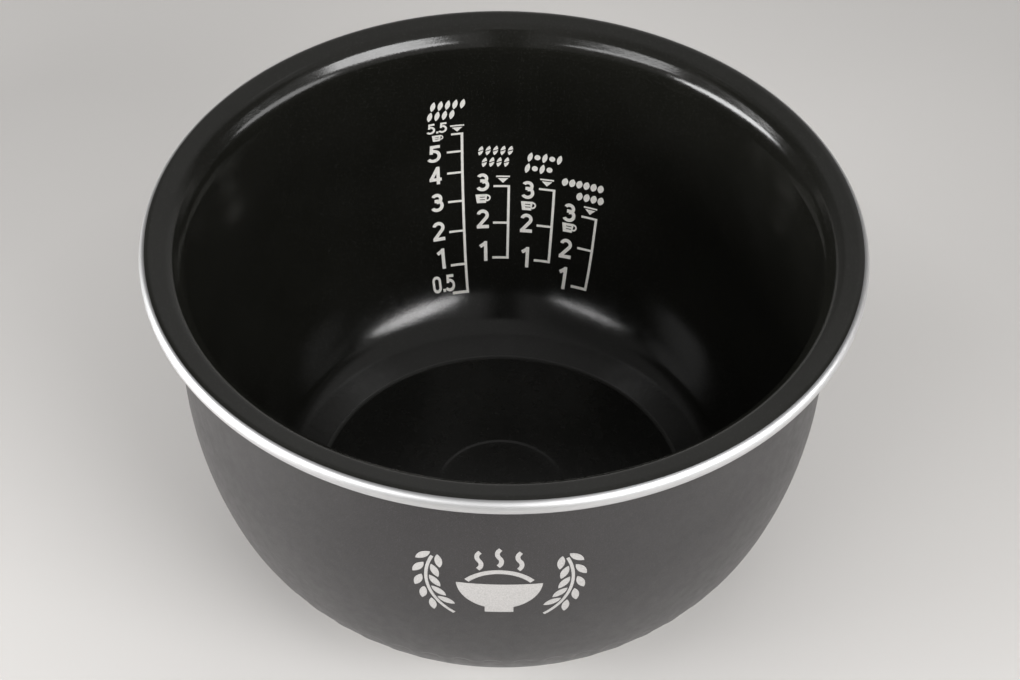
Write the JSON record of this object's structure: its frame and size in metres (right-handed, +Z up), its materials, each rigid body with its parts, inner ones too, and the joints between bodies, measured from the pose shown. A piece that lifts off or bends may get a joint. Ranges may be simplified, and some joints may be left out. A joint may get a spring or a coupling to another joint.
{
  "type": "rice cooker inner pot",
  "caption": "Round-bottomed rice cooker inner pot with a flat turned-edge flange, a non-stick cavity, printed water-level scales on the wall and an induction plate in the base.",
  "frame": {"origin": "middle of the flat base that the pot stands on", "axes": "+Z up through the mouth along the pot's axis; the water-level scales are on the +Y wall inside and the emblem faces -Y outside"},
  "size_m": [0.2112, 0.2112, 0.117],
  "materials": {
    "bare_aluminium": "satin, fine turned lines round the rim",
    "base_steel": "satin, turned",
    "nonstick_black": "semi-gloss fluoropolymer with fine orange peel and mica sparkle",
    "graphite_coat": "satin metallic graphite paint",
    "scale_ink": "matte heat-resistant print",
    "emblem_ink": "satin pale silver print"
  },
  "bodies": {
    "root": {"aluminium_core": "bare_aluminium", "induction_plate": "base_steel", "inner_coat": "nonstick_black", "outer_coat": "graphite_coat", "white_rice_ruler": "scale_ink", "white_rice_numerals": "scale_ink", "white_rice_symbols": "scale_ink", "brown_rice_ruler": "scale_ink", "brown_rice_numerals": "scale_ink", "brown_rice_symbols": "scale_ink", "mixed_rice_ruler": "scale_ink", "mixed_rice_numerals": "scale_ink", "mixed_rice_symbols": "scale_ink", "sticky_rice_ruler": "scale_ink", "sticky_rice_numerals": "scale_ink", "sticky_rice_symbols": "scale_ink", "front_emblem": "emblem_ink"}
  },
  "joints": []
}
